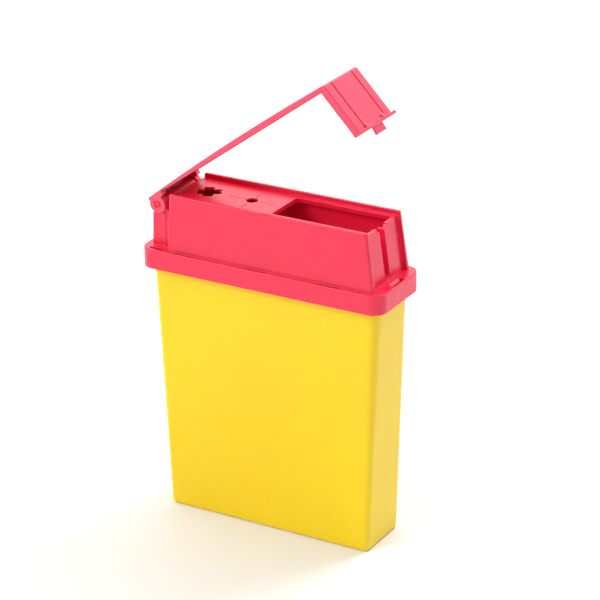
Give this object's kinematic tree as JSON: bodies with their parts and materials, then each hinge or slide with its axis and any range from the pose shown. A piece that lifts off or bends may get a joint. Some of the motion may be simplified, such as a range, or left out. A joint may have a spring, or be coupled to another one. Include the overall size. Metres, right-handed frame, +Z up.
{
  "type": "sharps container",
  "caption": "Slim tapered tub with a clip-on cover for used needles: a raised housing with removal holes and a drop opening, and a hinged L-shaped closing lid with a latch tongue.",
  "frame": {"origin": "middle of the base, on the surface the container stands on", "axes": "+X along the long side from the hinge to the latch, +Y towards the back, +Z up"},
  "size_m": [0.1732, 0.054, 0.3067],
  "materials": {
    "tub_plastic": "glossy yellow moulded polypropylene",
    "cover_plastic": "glossy red moulded polypropylene",
    "lid_plastic": "satin red moulded polypropylene",
    "pin_plastic": "satin red moulded plastic"
  },
  "bodies": {
    "container": {"tub": "tub_plastic", "cover": "cover_plastic", "hinge_pin": "pin_plastic"},
    "lid": {"closing_lid": "lid_plastic"},
    "tongue": {"latch_tongue": "lid_plastic"},
    "front_left_petal": {"petal_front_left": "cover_plastic"},
    "front_right_petal": {"petal_front_right": "cover_plastic"},
    "back_left_petal": {"petal_back_left": "cover_plastic"},
    "back_right_petal": {"petal_back_right": "cover_plastic"}
  },
  "joints": [
    {"name": "lid_hinge", "type": "hinge", "parent": "container", "child": "lid", "pos_m": [-0.0743, 0, 0.2098], "axis": [0, -1, 0], "range_deg": [-36, 54]},
    {"name": "tongue_flex", "type": "hinge", "parent": "lid", "child": "tongue", "pos_m": [0.07027, 0, 0.28013], "axis": [0, -1, 0], "range_deg": [0, 5], "stiffness_Nm_per_rad": 0.05},
    {"name": "front_left_flex", "type": "hinge", "parent": "container", "child": "front_left_petal", "pos_m": [-0.02697, -0.00711, 0.214], "axis": [-0.7615, 0.6482, 0], "range_deg": [0, 15], "stiffness_Nm_per_rad": 0.02},
    {"name": "front_right_flex", "type": "hinge", "parent": "container", "child": "front_right_petal", "pos_m": [-0.01023, -0.00711, 0.214], "axis": [-0.7615, -0.6482, 0], "range_deg": [0, 15], "stiffness_Nm_per_rad": 0.02},
    {"name": "back_left_flex", "type": "hinge", "parent": "container", "child": "back_left_petal", "pos_m": [-0.02697, 0.00711, 0.214], "axis": [0.7615, 0.6482, 0], "range_deg": [0, 15], "stiffness_Nm_per_rad": 0.02},
    {"name": "back_right_flex", "type": "hinge", "parent": "container", "child": "back_right_petal", "pos_m": [-0.01023, 0.00711, 0.214], "axis": [0.7615, -0.6482, 0], "range_deg": [0, 15], "stiffness_Nm_per_rad": 0.02}
  ]
}
